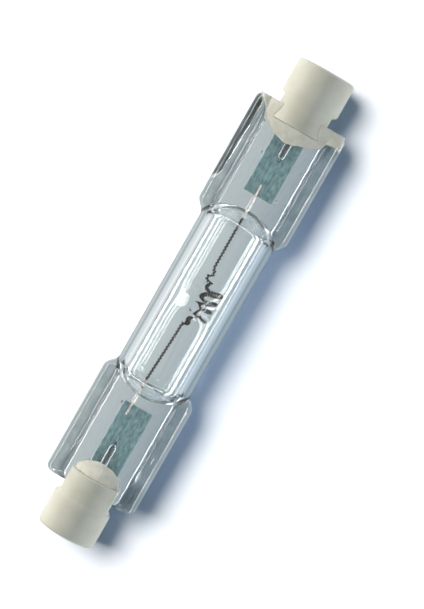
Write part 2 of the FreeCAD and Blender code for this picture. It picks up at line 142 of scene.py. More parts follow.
def sheetFaces(rows, columns, flip=False):
    # A closed skin from two sheets of points, the second listed after the first, joined round their border
    faces = []
    sheet = rows * columns
    lastRow, lastColumn = (rows - 1) * columns, columns - 1
    for i in range(rows - 1):
        for j in range(lastColumn):
            a, b = i * columns + j, (i + 1) * columns + j
            faces.append((a, b, b + 1, a + 1))
            faces.append((sheet + a, sheet + a + 1, sheet + b + 1, sheet + b))
    border = [i * columns for i in range(rows - 1)] + [lastRow + j for j in range(lastColumn)]
    border += [i * columns + lastColumn for i in range(rows - 1, 0, -1)] + list(range(lastColumn, 0, -1))
    for one, two in zip(border, border[1:] + border[:1]):
        faces.append((one, sheet + one, sheet + two, two))
    return [(face[0],) + face[:0:-1] for face in faces] if flip else faces


def crownRadius(radius, reach, knuckle):
    # Radius of the arc over a dome's crown, which runs on from its knuckle without a corner
    return (reach ** 2 + (radius - knuckle) ** 2 - knuckle ** 2) / (2 * (reach - knuckle))


def domeArc(radius, reach, knuckle, steps):
    # (outwards, up) points from the tube's end round the knuckle and over the crown to the axis
    crown = crownRadius(radius, reach, knuckle)
    kneeOut = knuckle * (crown - reach) / (crown - knuckle)
    kneeUp = (radius - knuckle) * crown / (crown - knuckle)
    points = []
    sweep = math.atan2(kneeOut, kneeUp - radius + knuckle)
    for k in range(steps + 1):
        a = sweep * k / steps
        points.append((knuckle * math.sin(a), radius - knuckle + knuckle * math.cos(a)))
    start = math.atan2(kneeUp, kneeOut - reach + crown)
    for k in range(1, steps * 2):
        a = start * (1 - k / (steps * 2))
        points.append((reach - crown + crown * math.cos(a), crown * math.sin(a)))
    return points + [(reach, 0.0)]


def smoothStep(low, high, value):
    t = min(1.0, max(0.0, (value - low) / (high - low)))
    return t * t * (3 - 2 * t)


# The camera, at the photograph's angle, in mm
view = {
    "eye": (22.4, -12.0, 349.0), "target": (1.17, -2.13, 6.0), "up": (0.8689, 0.4949, 0.0),
    "lens": 138.1, "sensor": 36.0, "nearest": 10, "farthest": 20000,
}

cameraData = bpy.data.cameras.new("photoCamera")
cameraData.sensor_width = view["sensor"]
cameraData.lens = view["lens"]
cameraData.clip_start, cameraData.clip_end = view["nearest"] * mm, view["farthest"] * mm
camera = bpy.data.objects.new("photoCamera", cameraData)
scene.collection.objects.link(camera)
back = (Vector(view["eye"]) - Vector(view["target"])).normalized()
right = Vector(view["up"]).cross(back).normalized()
upward = back.cross(right)
turned = Matrix((right, upward, back)).transposed().to_4x4()
camera.matrix_world = Matrix.Translation(Vector(view["eye"]) * mm) @ turned
scene.camera = camera
scene.view_settings.view_transform = "Standard"
print("camera set")


# Floor and lamps, in metres
stage = {
    "floorSize": 4.0,
    "floorColour": "9EB3CE",     # pale blue paper, which a warm lamp makes white
    # Painted shade that glass shows of the sheet, by the distance in mm from the lamp's axis: bright, shade, the dark
    # painted shadow lines at the lamp's foot on both sides, bright
    "paintedShadeView": ((-21, "F4F8FB"), (-17, "D2E0EA"), (-13, "B4C7D5"), (-11, "A9BDCB"), (-8.9, "9CB0BE"),
                  (-7.6, "6A7D8C"), (-6.3, "95A5B0"), (-5, "97A6AF"), (0, "B3BDC0"), (6.3, "C3CCCE"),
                  (7.6, "76838A"), (8.9, "CBD4D8"), (13, "DDE4E7"), (19, "F8FAFB")),
    "glassViewSpan": 60,
    "floorSun": 3.6, "floorSunAngle": 34.0, "floorSunFrom": (0.26, 0.965, 1.7),
    "floorSunColour": (3.11, 2.36, 1.72),
    # Strip lamps: power, size, colour, way towards the lamp, shift along X, and whether they light
    # the clear parts alone. The fill is weak in its middle, which leaves the coil clear of reflections
    "strips": (
        ("keyStrip", 0.50, (0.42, 0.030), "FFFBF2", (0.12, 0.966, 0.259), 0.0, False),
        ("fillStrip", 0.15, (0.42, 0.020), "CFE4F4", (0.0, -0.914, 0.407), 0.0, False),
        ("glassKey", 1.15, (0.42, 0.038), "FFFEFA", (0.08, 0.961, 0.276), 0.0, True),
        ("glassFillLeft", 0.58, (0.190, 0.036), "FFFBF2", (0.0, -0.919, 0.394), -0.115, True),
        ("glassFillMiddle", 0.013, (0.009, 0.036), "FFFBF2", (0.0, -0.919, 0.394), -0.0155, True),
        ("glassFillRight", 0.68, (0.221, 0.036), "FFFBF2", (0.0, -0.919, 0.394), 0.0995, True),
        ("glassEdge", 0.44, (0.42, 0.024), "EAF2FA", (0.0, -0.996, 0.094), 0.0, True),
        ("glassLeft", 0.90, (0.03, 0.50), "F4F9FF", (-0.86, 0.1, 0.5), 0.0, True),
        ("glassRight", 0.90, (0.03, 0.50), "F4F9FF", (0.86, 0.1, 0.5), 0.0, True),
    ),
    "topPower": 0.17, "topSize": (0.12, 0.12), "topWay": (0.15, 0.45, 1.0), "topColour": "FFFDF2",
    "reach": 0.25,
    "skyLight": "A3A8A8", "skyStrength": 0.72, "skyThroughGlass": "CFCDCC",
}


def glassRay(tree):
    # 1 for a ray that came through a clear piece or off a shiny one
    ray = addNode(tree, "ShaderNodeLightPath")
    return addNode(tree, "ShaderNodeMath", {"operation": "MAXIMUM"},
                   {0: ray.outputs["Is Transmission Ray"], 1: ray.outputs["Is Glossy Ray"]})


def areaLamp(name, power, size, colour, pose, receivers):
    data = bpy.data.lights.new(name, "AREA")
    data.shape = "RECTANGLE"
    data.size, data.size_y = size
    data.energy, data.color = power, linearColour(colour)[:3]
    lamp = bpy.data.objects.new(name, data)
    scene.collection.objects.link(lamp)
    lamp.matrix_world = pose
    lamp.light_linking.receiver_collection = receivers


floorMesh = bpy.data.meshes.new("paperSweep")
half = stage["floorSize"] / 2
floorMesh.from_pydata([(-half, -half, 0), (half, -half, 0), (half, half, 0), (-half, half, 0)], [], [(0, 1, 2, 3)])
floor = bpy.data.objects.new("paperSweep", floorMesh)
floorGroup = bpy.data.collections.new("floorGroup")
scene.collection.children.link(floorGroup)
floorGroup.objects.link(floor)
# Matt white background paper. Glass above it shows it with painted shade: the soft grey of a shaded sheet and dark
# painted shadow lines at the lamp's foot
paper, tree = newMaterial("mattPaper")
place = addNode(tree, "ShaderNodeTexCoord")
span = stage["glassViewSpan"] * mm
mapping = addNode(tree, "ShaderNodeMapping", {"Location": (0.5, 0.5, 0), "Scale": (1, 1 / span, 1)},
                  {"Vector": place.outputs["Object"]})
split = addNode(tree, "ShaderNodeSeparateXYZ", None, {"Vector": mapping})
ramp = addNode(tree, "ShaderNodeValToRGB", {"stops": [(0.5 + y * mm / span, tone) for y, tone in stage["paintedShadeView"]]},
               {"Fac": split.outputs["Y"]})
# Painted shade of the sheet, seen only through glass and in shiny pieces
paintedSheetShade = addNode(tree, "ShaderNodeEmission", {"Strength": 1.0}, {"Color": ramp})
matt = addNode(tree, "ShaderNodeBsdfDiffuse", {"Color": linearColour(stage["floorColour"])})
both = addNode(tree, "ShaderNodeMixShader", None, {0: glassRay(tree), 1: matt, 2: paintedSheetShade})
addNode(tree, "ShaderNodeOutputMaterial", None, {"Surface": both})
floorMesh.materials.append(paper)

sunData = bpy.data.lights.new("paperSun", "SUN")
sunData.energy = stage["floorSun"]
sunData.angle = math.radians(stage["floorSunAngle"])
sunData.color = stage["floorSunColour"]
sun = bpy.data.objects.new("paperSun", sunData)
scene.collection.objects.link(sun)
sun.matrix_world = Vector(stage["floorSunFrom"]).to_track_quat("Z", "Y").to_matrix().to_4x4()
sun.light_linking.receiver_collection = floorGroup  # it only whitens the paper
notFloor = bpy.data.collections.new("notFloor")  # names what the key and fill strips leave out
notFloor.objects.link(floor)
notFloor.collection_objects[0].light_linking.link_state = "EXCLUDE"

clearParts = bpy.data.collections.new("clearParts")
for name, power, size, colour, way, shift, glassOnly in stage["strips"]:
    facing = Vector(way).normalized()
    across = facing.cross(Vector((1, 0, 0))).normalized()
    pose = Matrix.Translation(facing * stage["reach"] + Vector((shift, 0, axisHeight * mm))) \
        @ Matrix((across.cross(facing), across, facing)).transposed().to_4x4()
    areaLamp(name, power, size, colour, pose, clearParts if glassOnly else notFloor)

# A small lamp overhead for the cement alone, whose flat skin the strips only graze
cementParts = bpy.data.collections.new("cementParts")
facing = Vector(stage["topWay"]).normalized()
pose = Matrix.Translation(facing * stage["reach"]) @ facing.to_track_quat("Z", "Y").to_matrix().to_4x4()
areaLamp("cementLamp", stage["topPower"], stage["topSize"], stage["topColour"], pose, cementParts)

world = bpy.data.worlds.new("studio")
scene.world = world
world.use_nodes = True
tree = world.node_tree
tree.nodes.clear()
ray = addNode(tree, "ShaderNodeLightPath")
dim = addNode(tree, "ShaderNodeBackground",
              {"Color": linearColour(stage["skyLight"]), "Strength": stage["skyStrength"]})
white = addNode(tree, "ShaderNodeBackground", {"Color": (1, 1, 1, 1), "Strength": 1.0})
pale = addNode(tree, "ShaderNodeBackground", {"Color": linearColour(stage["skyThroughGlass"]), "Strength": 1.0})
through = addNode(tree, "ShaderNodeMixShader", None, {0: glassRay(tree), 1: dim, 2: pale})
both = addNode(tree, "ShaderNodeMixShader", None, {0: ray.outputs["Is Camera Ray"], 1: through, 2: white})
addNode(tree, "ShaderNodeOutputWorld", None, {"Surface": both})
print("floor and light set")


# Materials. Sizes of patterns and depths of bumps are in mm
def quartzGlass():
    # Fused quartz, drawn as tube and pressed while soft: clear, with a faint unevenness that bends reflections
    material, tree = newMaterial("fusedQuartz")
    place = addNode(tree, "ShaderNodeTexCoord")
    stretched = addNode(tree, "ShaderNodeMapping", {"Scale": (0.35, 1.0, 1.0)}, {"Vector": place.outputs["Object"]})
    ripple = addNode(tree, "ShaderNodeTexNoise", {"Scale": 1 / (2.2 * mm), "Detail": 2.0}, {"Vector": stretched})
    bump = addNode(tree, "ShaderNodeBump", {"Strength": 0.012, "Distance": 0.03 * mm}, {"Height": ripple})
    hazeAndShade = addNode(tree, "ShaderNodeAttribute", {"attribute_name": "hazeAndShade"})
    grain = addNode(tree, "ShaderNodeTexNoise", {"Scale": 1 / (0.6 * mm), "Detail": 4.0, "Roughness": 0.7},
                    {"Vector": stretched})
    patchy = addNode(tree, "ShaderNodeMapRange", {"From Min": 0.3, "From Max": 0.7, "To Min": 0.5, "To Max": 1.2},
                     {"Value": grain})
    shadeTone = addNode(tree, "ShaderNodeMath", {"operation": "MULTIPLY"}, {0: hazeAndShade.outputs["Fac"], 1: patchy})
    # The tint is painted shade: a high haze darkens the glass on the ribs, the web, the ends of two ribs, the fold and
    # the bubbles
    tint = addNode(tree, "ShaderNodeValToRGB", {"stops": ((0.0, "FCFEFE"), (0.5, "B4BEBF"), (1.0, "1C2A2E"))},
                   {"Fac": shadeTone})
    # A haze below 0, on inner surfaces, leaves no roughness at all
    gloss = addNode(tree, "ShaderNodeMath", {"operation": "MULTIPLY_ADD", "use_clamp": True, 1: 0.1, 2: 0.045},
                    {0: hazeAndShade.outputs["Fac"]})
    glass = addNode(tree, "ShaderNodeBsdfPrincipled", {"IOR": 1.458, "Transmission Weight": 1.0}, {
        "Base Color": tint, "Roughness": gloss, "Normal": bump})
    # Light on its way to the paper isn't bent, so the glass dims it instead
    clear = addNode(tree, "ShaderNodeBsdfTransparent", {"Color": linearColour("5E6575")})
    ray = addNode(tree, "ShaderNodeLightPath")
    both = addNode(tree, "ShaderNodeMixShader", None, {0: ray.outputs["Is Shadow Ray"], 1: glass, 2: clear})
    addNode(tree, "ShaderNodeOutputMaterial", None, {"Surface": both})
    return material


def steatite():
    # Unglazed pressed steatite: dense cream ceramic, matt, with fine grit and faint handling marks
    material, tree = newMaterial("pressedSteatite")
    place = addNode(tree, "ShaderNodeTexCoord")
    clouds = addNode(tree, "ShaderNodeTexNoise", {"Scale": 1 / (3.0 * mm), "Detail": 4.0},
                     {"Vector": place.outputs["Object"]})
    tint = addNode(tree, "ShaderNodeValToRGB", {"stops": ((0.3, "E9E5D3"), (0.7, "F3F0E2"))}, {"Fac": clouds})
    grit = addNode(tree, "ShaderNodeTexNoise", {"Scale": 1 / (0.22 * mm), "Detail": 3.0, "Roughness": 0.7},
                   {"Vector": place.outputs["Object"]})
    gloss = addNode(tree, "ShaderNodeMapRange", {"To Min": 0.48, "To Max": 0.68}, {"Value": grit})
    bump = addNode(tree, "ShaderNodeBump", {"Strength": 0.35, "Distance": 0.02 * mm}, {"Height": grit})
    body = addNode(tree, "ShaderNodeBsdfPrincipled", {"IOR": 1.55}, {
        "Base Color": tint, "Roughness": gloss, "Normal": bump})
    addNode(tree, "ShaderNodeOutputMaterial", None, {"Surface": body})
    return material


def capCement():
    # Water glass cement with ceramic filler: chalky, grainy, smeared by hand
    material, tree = newMaterial("fillerCement")
    place = addNode(tree, "ShaderNodeTexCoord")
    clouds = addNode(tree, "ShaderNodeTexNoise", {"Scale": 1 / (1.4 * mm), "Detail": 5.0, "Roughness": 0.6},
                     {"Vector": place.outputs["Object"]})
    tint = addNode(tree, "ShaderNodeValToRGB", {"stops": ((0.3, "D3D1C4"), (0.72, "E3E1D8"))}, {"Fac": clouds})
    grain = addNode(tree, "ShaderNodeTexNoise", {"Scale": 1 / (0.3 * mm), "Detail": 4.0, "Roughness": 0.75},
                    {"Vector": place.outputs["Object"]})
    bump = addNode(tree, "ShaderNodeBump", {"Strength": 0.6, "Distance": 0.05 * mm}, {"Height": grain})
    body = addNode(tree, "ShaderNodeBsdfPrincipled", {"IOR": 1.5, "Roughness": 0.85}, {
        "Base Color": tint, "Normal": bump})
    addNode(tree, "ShaderNodeOutputMaterial", None, {"Surface": body})
    return material


def rolledFoil():
    # Rolled molybdenum foil sealed in quartz: grey blue metal with rolling lines and soft creases
    material, tree = newMaterial("rolledMolybdenum")
    place = addNode(tree, "ShaderNodeTexCoord")
    stretched = addNode(tree, "ShaderNodeMapping", {"Scale": (0.4, 1.0, 1.0)}, {"Vector": place.outputs["Object"]})
    lines = addNode(tree, "ShaderNodeTexNoise", {"Scale": 1 / (0.4 * mm), "Detail": 4.0, "Roughness": 0.6},
                    {"Vector": stretched})
    tint = addNode(tree, "ShaderNodeValToRGB", {"stops": ((0.35, "557478"), (0.65, "88A5A8"))}, {"Fac": lines})
    gloss = addNode(tree, "ShaderNodeMapRange", {"To Min": 0.3, "To Max": 0.5}, {"Value": lines})
    bump = addNode(tree, "ShaderNodeBump", {"Strength": 0.5, "Distance": 0.03 * mm}, {"Height": lines})
    metal = addNode(tree, "ShaderNodeBsdfPrincipled", {"Metallic": 0.6}, {
        "Base Color": tint, "Roughness": gloss, "Normal": bump})
    addNode(tree, "ShaderNodeOutputMaterial", None, {"Surface": metal})
    return material


def drawnWire(name, dark, light, roughness):
    # Drawn refractory wire with die lines along it. Molybdenum is grey and tungsten nearly black
    material, tree = newMaterial(name)
    place = addNode(tree, "ShaderNodeTexCoord")
    stretched = addNode(tree, "ShaderNodeMapping", {"Scale": (0.08, 1.0, 1.0)}, {"Vector": place.outputs["Object"]})
    lines = addNode(tree, "ShaderNodeTexNoise", {"Scale": 1 / (0.12 * mm), "Detail": 3.0}, {"Vector": stretched})
    tint = addNode(tree, "ShaderNodeValToRGB", {"stops": ((0.35, dark), (0.65, light))}, {"Fac": lines})
    bump = addNode(tree, "ShaderNodeBump", {"Strength": 0.3, "Distance": 0.008 * mm}, {"Height": lines})
    metal = addNode(tree, "ShaderNodeBsdfPrincipled", {"Metallic": 1.0, "Roughness": roughness}, {
        "Base Color": tint, "Normal": bump})
    addNode(tree, "ShaderNodeOutputMaterial", None, {"Surface": metal})
    return material


def platedContact():
    # Nickel plated contact, turned, so its marks run round its own axis
    material, tree = newMaterial("nickelPlate")
    place = addNode(tree, "ShaderNodeTexCoord")
    centred = addNode(tree, "ShaderNodeMapping", {"Location": (0, 0, -axisHeight * mm)},
                      {"Vector": place.outputs["Object"]})
    rings = addNode(tree, "ShaderNodeTexWave", {
        "wave_type": "RINGS", "rings_direction": "X", "Scale": 1 / (1.6 * mm), "Distortion": 0.6, "Detail": 2.0},
        {"Vector": centred})
    gloss = addNode(tree, "ShaderNodeMapRange", {"To Min": 0.22, "To Max": 0.4}, {"Value": rings.outputs["Fac"]})
    bump = addNode(tree, "ShaderNodeBump", {"Strength": 0.2, "Distance": 0.01 * mm}, {"Height": rings.outputs["Fac"]})
    metal = addNode(tree, "ShaderNodeBsdfPrincipled", {"Metallic": 1.0, "Base Color": linearColour("BDB6A6")}, {
        "Roughness": gloss, "Normal": bump})
    addNode(tree, "ShaderNodeOutputMaterial", None, {"Surface": metal})
    return material


quartzLook = quartzGlass()
steatiteLook = steatite()
cementLook = capCement()
foilLook = rolledFoil()
leadLook = drawnWire("drawnMolybdenum", "3A3E42", "5E6266", 0.28)
# The thin leads are pale pink, a painted reflection of the bright open gap round them; the metal itself is grey
innerLeadGleamLook = drawnWire("thinMolybdenumPaintedGleam", "A89C97", "E6D8D2", 0.25)
tungstenLook = drawnWire("woundTungsten", "0F0C0B", "2A2320", 0.32)
contactLook = platedContact()
print("materials made")


# Quartz envelope: tube, domed ends, pinch seals and exhaust tip, in mm
envelope = {
    # Distances along are from the middle of the lamp. A place or a spread is given along and across
    "tubeRadius": 6.0, "tubeEnd": 12.65, "pinchEnd": 31.85,
    "domeReach": 3.1, "domeKnuckle": 1.6,
    "pinchHalfWidth": 7.4, "web": 1.3, "rib": 2.3, "ribHalfWidth": 1.4, "ribPower": 2.6,
    "shoulder": (12.0, 14.3), "ribStart": (11.6, 13.6),
    "blend": 2.2, "unevenness": 0.7, "ribBlend": {(-1, -1): 0.3, (-1, 1): 0.35, (1, -1): 0.3, (1, 1): 1.0},
    "endRound": 0.35, "cornerRound": 0.9,
    "tipPlace": (0.1, -0.4), "tipBase": 0.5, "tipBaseSpread": (2.3, 1.3),
    "nibPlace": (-0.1, 0.0), "nib": 0.13, "nibSpread": (1.0, 0.9),
    "boreRadius": 4.4, "boreReach": 2.3, "boreKnuckle": 0.5,
    "tipBore": 0.8, "tipBoreSpread": (1.9, 1.6),
    "boreAround": 96, "boreSteps": 120, "boreDomeSteps": 12,
}

# The grid of the outer skin: lengths along the lamp in mm, then numbers of rings and of points round
skinGrid = {
    "tubeEnd": 11.0, "footEnd": 17.2, "lastLength": 1.0, "tipReach": 2.8, "tipStep": 0.12, "tubeStep": 0.35,
    "pinchStep": 0.3, "domeRings": 26, "footRings": 16, "lastRings": 14, "around": 200,
}


def roundOff(depth, radius):
    # How far a rounded edge has fallen back at this depth from the end
    if depth >= radius:
        return 0.0
    return radius - math.sqrt(max(0.0, radius ** 2 - (radius - depth) ** 2))


def mound(x, y, place, spread):
    return math.exp(-((x - place[0]) / spread[0]) ** 2 - ((y - place[1]) / spread[1]) ** 2)


def halfWidth(x):
    e = envelope
    grown = e["tubeRadius"] + (e["pinchHalfWidth"] - e["tubeRadius"]) * smoothStep(*e["shoulder"], abs(x))
    return grown - roundOff(e["pinchEnd"] - abs(x), e["cornerRound"])


def bulbRadius(x):
    e = envelope
    out = abs(x) - e["tubeEnd"]
    if out <= 0:
        return e["tubeRadius"]
    reach, knuckle, radius = e["domeReach"], e["domeKnuckle"], e["tubeRadius"]
    crown = crownRadius(radius, reach, knuckle)
    if out <= knuckle * (crown - reach) / (crown - knuckle):
        return radius - knuckle + math.sqrt(knuckle ** 2 - out ** 2)
    square = crown ** 2 - (out + crown - reach) ** 2
    return math.copysign(math.sqrt(abs(square)), square)


def smoothTop(a, b, k):
    # The higher of two surfaces, with a fillet where they cross that fades out at the outline
    k = min(k, 0.8 * max(0.0, min(a, b)))
    if k <= 0:
        return max(a, b)
    near = max(k - abs(a - b), 0.0)
    return max(a, b) + near * near / (4 * k)


def surfaceHeight(x, y, top):
    e = envelope
    radius = bulbRadius(x)
    square = radius * abs(radius) - y * y
    bulb = math.copysign(math.sqrt(abs(square)), square)
    wide = halfWidth(x)
    off = abs(abs(y) - (wide - e["ribHalfWidth"])) / e["ribHalfWidth"]
    rib = e["rib"] * max(0.0, 1 - off ** e["ribPower"]) ** (1 / e["ribPower"])
    web = e["web"] if abs(y) < wide - e["ribHalfWidth"] else 0.0
    fillet = e["ribBlend"][-1 if x < 0 else 1, -1 if y < 0 else 1]
    fillet *= 1 + e["unevenness"] * noise.noise(Vector((x * 0.7, y * 0.2, 4.0)))
    pinch = smoothTop(rib, web, fillet) if web else rib
    pinch *= smoothStep(*e["ribStart"], abs(x))
    height = smoothTop(bulb, pinch, e["blend"])
    height -= min(roundOff(e["pinchEnd"] - abs(x), e["endRound"]), height)
    if top:
        height += e["tipBase"] * mound(x, y, e["tipPlace"], e["tipBaseSpread"])
        height += e["nib"] * mound(x, y, e["nibPlace"], e["nibSpread"])
    return height


def domeFoot(share):
    # Where the dome runs down to the web, on the line at this share of the half width
    e = envelope
    place = domeEnd = e["tubeEnd"] + e["domeReach"]
    for _ in range(4):
        radius = math.hypot(halfWidth(place) * share, e["web"])
        place, high = e["tubeEnd"], domeEnd
        if radius >= e["tubeRadius"]:
            continue
        for _ in range(30):
            middle = (place + high) / 2
            if bulbRadius(middle) > radius:
                place = middle
            else:
                high = middle
    return place


def outerGlass():
    e, g = envelope, skinGrid
    around = g["around"]
    shares = [math.sin(-math.pi / 2 + 2 * math.pi * j / around) for j in range(around)]
    feet = [domeFoot(share) for share in shares]
    points = []

    def ringAt(kind, amount, sign=1):
        ring = []
        for j, share in enumerate(shares):
            x = amount
            if kind == "dome":
                x = g["tubeEnd"] + (feet[j] - g["tubeEnd"]) * amount
            elif kind == "foot":
                x = feet[j] + (g["footEnd"] - feet[j]) * amount
            x *= sign
            y = halfWidth(x) * share
            top = 0 < j < around // 2
            height = 0.0 if j in (0, around // 2) else surfaceHeight(x, y, top)
            ring.append(len(points))
            points.append((x, y, axisHeight + (height if top else -height)))
        return ring

    middle, x = [], -g["tubeEnd"]
    while x < g["tubeEnd"]:
        middle.append(x)
        x += g["tipStep"] if abs(x - e["tipPlace"][0]) < g["tipReach"] else g["tubeStep"]
    middle.append(g["tubeEnd"])
    # Rings closer together where the form turns fast: at the tube's end, past the dome and at the seal's end
    outward = [("dome", 1 - (1 - k / g["domeRings"]) ** 1.5) for k in range(1, g["domeRings"] + 1)]
    outward += [("foot", (k / g["footRings"]) ** 1.6) for k in range(1, g["footRings"] + 1)]
    lastStart = e["pinchEnd"] - g["lastLength"]
    straight = int((lastStart - g["footEnd"]) / g["pinchStep"])
    outward += [("seal", g["footEnd"] + (lastStart - g["footEnd"]) * k / straight) for k in range(1, straight + 1)]
    outward += [("seal", e["pinchEnd"] - g["lastLength"] * (1 - math.sin(math.pi / 2 * k / g["lastRings"])))
                for k in range(1, g["lastRings"] + 1)]
    rings = [ringAt(*rule, -1) for rule in reversed(outward)]
    rings += [ringAt("tube", x) for x in middle]
    rings += [ringAt(*rule) for rule in outward]

    faces = []
    for one, two in zip(rings, rings[1:]):
        for j in range(around):
            k = (j + 1) % around
            faces.append((one[j], two[j], two[k], one[k]))
    first, last = rings[0], rings[-1]
    for j in range(around // 2):
        strip = [j, j + 1, around - j - 1, (around - j) % around]
        faces.append(list(dict.fromkeys(first[k] for k in strip)))
        faces.append(list(dict.fromkeys(last[k] for k in reversed(strip))))
    return points, faces


def cavityGlass():
    e = envelope
    dome = domeArc(e["boreRadius"], e["boreReach"], e["boreKnuckle"], e["boreDomeSteps"])
    right = [(e["tubeEnd"] + out, up) for out, up in dome]
    left = [(-x, r) for x, r in reversed(right)]
    steps = e["boreSteps"]
    middle = [(-e["tubeEnd"] + 2 * e["tubeEnd"] * k / steps, e["boreRadius"]) for k in range(1, steps)]

    def tipBore(p):
        if p[2] > axisHeight:
            p[2] += e["tipBore"] * mound(p[0], p[1], e["tipPlace"], e["tipBoreSpread"])
        return p

    return latheRings(left + middle + right, (0.0, axisHeight), e["boreAround"], flip=True, bend=tipBore)


# The thick and the thin leads, in mm. A thick lead ends in a nib that is welded to the foil
leads = {"around": 40, "edge": 0.08, "outerRadius": 0.5, "nibRadius": 0.2, "nibLength": 1.0, "innerRadius": 0.2}

# Open space left round each thick lead where the glass shrank back from it
leadGap = {"radius": 0.61, "before": 0.25, "taper": 0.3, "shoulder": 0.22, "endInset": 0.06, "around": 32, "steps": 12}


def leadChannel(side, sign):
    low, high = boxOf(f"{side}_outer_lead")
    inner = endsOf(low, high)[0] + leads["nibLength"] - leadGap["before"]
    outer = envelope["pinchEnd"] - leadGap["endInset"]
    r, taper, steps = leadGap["radius"], leadGap["taper"], leadGap["steps"]
    profile = [(inner - taper, 0.0), (inner - leadGap["shoulder"], r * 0.5), (inner, r * 0.85)]
    profile += [(inner + taper + (outer - inner - taper) * k / steps, r) for k in range(steps + 1)]
    profile += [(outer, 0.0)]
    middle = ((low.y + high.y) / 2, high.z - leads["outerRadius"])
    return latheSide(profile, sign, middle, leadGap["around"], hollow=True)


# The upper rib of the right seal kept a flattened channel where its fold didn't close
foldVoid = {
    "start": 15.9, "finish": 31.4, "middle": 6.5, "halfWidth": 0.46, "halfHeight": 0.6,
    "wobble": 0.16, "lump": 0.14, "around": 28, "steps": 70,
}


def foldChannel():
    v = foldVoid
    points, rings = [], []
    for k in range(v["steps"] + 1):
        share = k / v["steps"]
        x = v["start"] + (v["finish"] - v["start"]) * share
        # It widens over the first five eighths and closes over the last tenth
        swell = math.sin(math.pi * min(1.0, share * 1.6) / 2) ** 0.7 if share < 0.625 else 1.0
        swell *= math.sqrt(max(0.0, 1 - max(0.0, (share - 0.9) / 0.1) ** 2))
        wobble = v["wobble"] * noise.noise(Vector((x * 0.5, 1.3, 0.2)))
        ring = []
        for n in range(v["around"] if swell > 1e-6 else 1):
            a = 2 * math.pi * n / v["around"]
            lump = 1 + v["lump"] * noise.noise(Vector((x * 0.7, math.cos(a) * 1.5, math.sin(a) * 1.5)))
            ring.append(len(points))
            points.append((x, v["middle"] + wobble + v["halfWidth"] * swell * lump * math.sin(a),
                           axisHeight + v["halfHeight"] * swell * lump * math.cos(a)))
        rings.append(ring)
    return points, ringFaces(rings, flip=True)


# Thin open space round each inner lead, from the bulb to the foil
innerGap = {"radius": 0.29, "start": 0.12, "lap": 0.25, "around": 20, "steps": 20}


def innerChannel(side, sign):
    low, high = boxOf(f"{side}_inner_lead")
    start = envelope["tubeEnd"] + envelope["boreReach"] + innerGap["start"]
    finish = endsOf(*boxOf(f"{side}_foil"))[0] + innerGap["lap"]
    steps, r = innerGap["steps"], innerGap["radius"]
    profile = [(start, 0.0)]
    for k in range(1, steps):
        neck = min(1.0, 0.55 + k * 0.15, 0.4 + (steps - k) * 0.2)
        profile.append((start + (finish - start) * k / steps, r * neck))
    profile.append((finish, 0.0))
    middle = ((low.y + high.y) / 2, high.z - leads["innerRadius"])
    return latheSide(profile, sign, middle, innerGap["around"], hollow=True)


# Small bubbles left in the seals: place along and across, length and width, all in mm
bubbles = {
    "spots": ((24.6, 5.5, 0.5, 0.22), (24.3, 2.6, 0.5, 0.26), (19.0, -2.9, 0.42, 0.3), (15.0, -4.3, 0.6, 0.3),
              (25.3, -4.95, 0.6, 0.24), (22.4, 4.5, 0.55, 0.2), (24.7, 4.5, 0.5, 0.18), (26.9, 4.45, 0.4, 0.16),
              (28.4, 4.5, 0.4, 0.16), (-17.8, 2.3, 0.5, 0.3), (-26.0, 5.1, 0.9, 0.1), (-24.2, 5.0, 0.8, 0.12),
              (-22.0, 5.05, 1.1, 0.1), (-28.6, -4.9, 1.8, 0.16), (-26.2, -5.6, 2.2, 0.14), (-23.4, -6.0, 1.5, 0.12)),
    "level": 0.45, "sides": 10,
}


def newTree(name, sockets):
    # A node tree that takes a geometry, the sockets given as (name, kind) and a material
    tree = bpy.data.node_groups.new(name, "GeometryNodeTree")
    for label, kind in (("Geometry", "Geometry"), *sockets, ("Material", "Material")):
        tree.interface.new_socket(label, in_out="INPUT", socket_type=f"NodeSocket{kind}")
    tree.interface.new_socket("Geometry", in_out="OUTPUT", socket_type="NodeSocketGeometry")
    return tree, addNode(tree, "NodeGroupInput").outputs


def closeTree(tree, given, geometry):
    # Gives the geometry its material and hands it out
    finish = addNode(tree, "GeometryNodeSetMaterial", None, {"Geometry": geometry, "Material": given["Material"]})
    addNode(tree, "NodeGroupOutput", None, {"Geometry": finish})


def bubbleTree():
    # Sets a small stretched bubble at each point of the mesh it is given
    tree, given = newTree("sealBubbles", [("Sides", "Int")])
    ball = addNode(tree, "GeometryNodeMeshUVSphere", {"Radius": 1.0},
                   {"Segments": given["Sides"], "Rings": given["Sides"]})
    spread = addNode(tree, "GeometryNodeInputNamedAttribute", {"data_type": "FLOAT_VECTOR", "Name": "spread"})
    placed = addNode(tree, "GeometryNodeInstanceOnPoints", None,
                     {"Points": given["Geometry"], "Instance": ball, "Scale": spread})
    whole = addNode(tree, "GeometryNodeRealizeInstances", None, {"Geometry": placed})
    inside = addNode(tree, "GeometryNodeFlipFaces", None, {"Mesh": whole})
    closeTree(tree, given, inside)
    return tree


def workedMesh(holder, name):
    # Runs the modifiers of a helper object, removes it and gives the result as a plain mesh
    scene.collection.objects.link(holder)
    graph = bpy.context.evaluated_depsgraph_get()
    mesh = bpy.data.meshes.new_from_object(holder.evaluated_get(graph))
    mesh.name = name
    holder.modifiers.clear()
    bpy.data.objects.remove(holder)
    return mesh


def treeMesh(name, base, tree, amounts):
    # The result stays in millimetres, because the lengths inside a tree have a least size
    holder = bpy.data.objects.new(name + "Base", base)
    modifier = holder.modifiers.new("tree", "NODES")
    modifier.node_group = tree
    for item in tree.interface.items_tree:
        if item.in_out == "INPUT" and item.name in amounts:
            modifier[item.identifier] = amounts[item.name]
    return workedMesh(holder, name)


